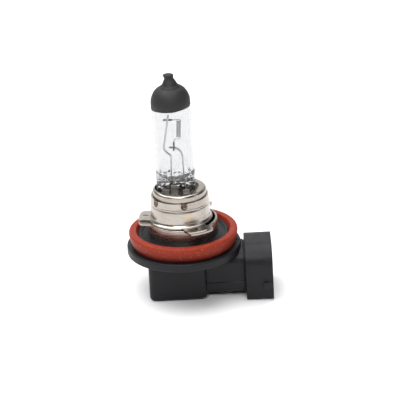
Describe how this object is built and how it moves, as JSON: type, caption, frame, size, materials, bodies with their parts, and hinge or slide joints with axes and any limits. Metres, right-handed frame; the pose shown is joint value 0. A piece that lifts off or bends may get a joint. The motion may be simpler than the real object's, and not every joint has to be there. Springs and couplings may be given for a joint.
{
  "type": "headlight bulb",
  "caption": "Halogen capsule with blacked tip in an off-axis steel sleeve, round locating collar with lugs, red seal ring and black right-angle plug base.",
  "frame": {"origin": "axis of the 19 mm locating collar in the reference plane, which is the underside of the three lugs", "axes": "+Z along the bulb towards the glass tip, +X out of the connector shroud, +Y completes a right-handed frame"},
  "size_m": [0.0396, 0.0312, 0.0647],
  "materials": {
    "quartz_glass": "clear, polished",
    "black_coating": "fired matt black coating, slightly mottled",
    "tungsten": "drawn tungsten wire, dull grey",
    "molybdenum": "molybdenum wire and foil, satin",
    "nickel_steel": "bright pressed steel, soft satin gloss",
    "weld_metal": "weld metal with brown heat tint",
    "black_plastic": "moulded black polymer, fine texture",
    "silicone": "orange-red silicone rubber, matt with dust",
    "tin_brass": "tinned brass",
    "sealant": "cast sealing compound"
  },
  "bodies": {
    "root": {"glass_envelope": "quartz_glass", "anti_glare_cap": "black_coating", "filament": "tungsten", "upper_tail_sleeve": "molybdenum", "lower_tail_sleeve": "molybdenum", "long_lead": "molybdenum", "short_lead": "molybdenum", "foil_long": "molybdenum", "foil_short": "molybdenum", "outer_lead_long": "molybdenum", "outer_lead_short": "molybdenum", "capsule_clamp": "nickel_steel", "clamp_ring": "nickel_steel", "outer_sleeve": "nickel_steel", "collar": "nickel_steel", "ring_welds": "weld_metal", "tab_welds": "weld_metal", "base_housing": "black_plastic", "seal_ring": "silicone", "terminal_front": "tin_brass", "terminal_back": "tin_brass", "terminal_seal": "sealant", "rear_cover": "black_plastic"}
  },
  "joints": []
}
